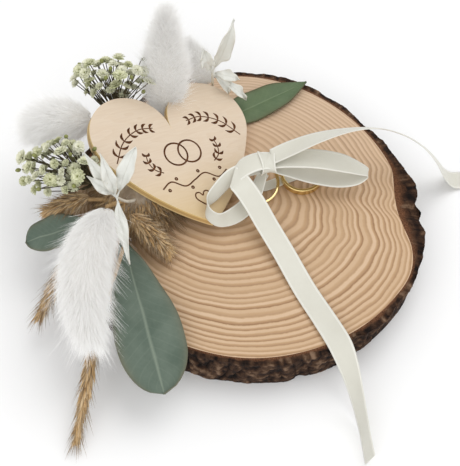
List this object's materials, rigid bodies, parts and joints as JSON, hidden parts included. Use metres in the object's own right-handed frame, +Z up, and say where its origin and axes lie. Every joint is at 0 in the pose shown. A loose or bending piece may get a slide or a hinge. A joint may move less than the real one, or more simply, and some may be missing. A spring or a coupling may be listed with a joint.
{
  "type": "wedding ring holder",
  "caption": "Tree-slice wedding ring holder: bark-edged wood disc with a heart plaque, dried flowers and a satin bow that ties down two gold rings.",
  "frame": {"origin": "centre of the wood slice's flat underside, on the table", "axes": "+Z up out of the slice's face, the front of the holder at -Y, the ribbon's side tail towards +X"},
  "size_m": [0.207, 0.1975, 0.0854],
  "materials": {
    "bare_wood": "sanded, growth rings",
    "bark": "rough bark",
    "plywood": "plain birch ply with a burned pattern",
    "hot_glue": "hot glue with plant bits",
    "grass_fur": "bleached fur",
    "dry_stem": "dried stalk",
    "dark_stem": "dried twig",
    "floret": "dried petals",
    "eucalyptus": "preserved leaf, waxy",
    "bleached_leaf": "bleached leaf",
    "bleached_stem": "bleached stalk",
    "reed_plume": "dried plume",
    "satin": "ivory satin",
    "gold_slim": "polished gold",
    "gold_wide": "polished gold"
  },
  "bodies": {
    "holder": {"bark_rim": "bark", "bunny_head_back": "grass_fur", "bunny_head_front": "grass_fur", "bunny_head_left": "grass_fur", "bunny_head_top": "grass_fur", "bunny_stem_back": "dry_stem", "bunny_stem_front": "dry_stem", "bunny_stem_left": "dry_stem", "bunny_stem_top": "dry_stem", "eucalyptus_leaf_back": "eucalyptus", "eucalyptus_leaf_front": "eucalyptus", "eucalyptus_leaf_left": "eucalyptus", "glue_bed": "hot_glue", "gypsophila_left_florets": "floret", "gypsophila_left_stems": "dark_stem", "gypsophila_upper_florets": "floret", "gypsophila_upper_stems": "dark_stem", "heart_plaque": "plywood", "plaque_glue": "hot_glue", "reed_plume_centre": "reed_plume", "reed_plume_front": "reed_plume", "reed_plume_left": "reed_plume", "reed_plume_lower": "reed_plume", "reed_stems": "dry_stem", "ribbon_fold": "satin", "ribbon_glue": "hot_glue", "ribbon_knot": "satin", "ribbon_loop_left": "satin", "ribbon_loop_right": "satin", "ribbon_strand": "satin", "ribbon_tail_front": "satin", "ribbon_tail_side": "satin", "ruscus_back_leaves": "bleached_leaf", "ruscus_back_stem": "bleached_stem", "ruscus_front_leaves": "bleached_leaf", "ruscus_front_stem": "bleached_stem", "wood_slice": "bare_wood"},
    "ring_slim": {"ring_slim": "gold_slim"},
    "ring_wide": {"ring_wide": "gold_wide"}
  },
  "joints": [
    {"name": "slim_ring_lift", "type": "hinge", "parent": "holder", "child": "ring_slim", "pos_m": [0.0113, 0.0031, 0.0201], "axis": [0.8192, 0.5736, 0], "range_deg": [0, 6]},
    {"name": "wide_ring_lift", "type": "hinge", "parent": "holder", "child": "ring_wide", "pos_m": [0.02712, 0.00717, 0.0201], "axis": [1, 0, 0], "range_deg": [0, 4]}
  ]
}
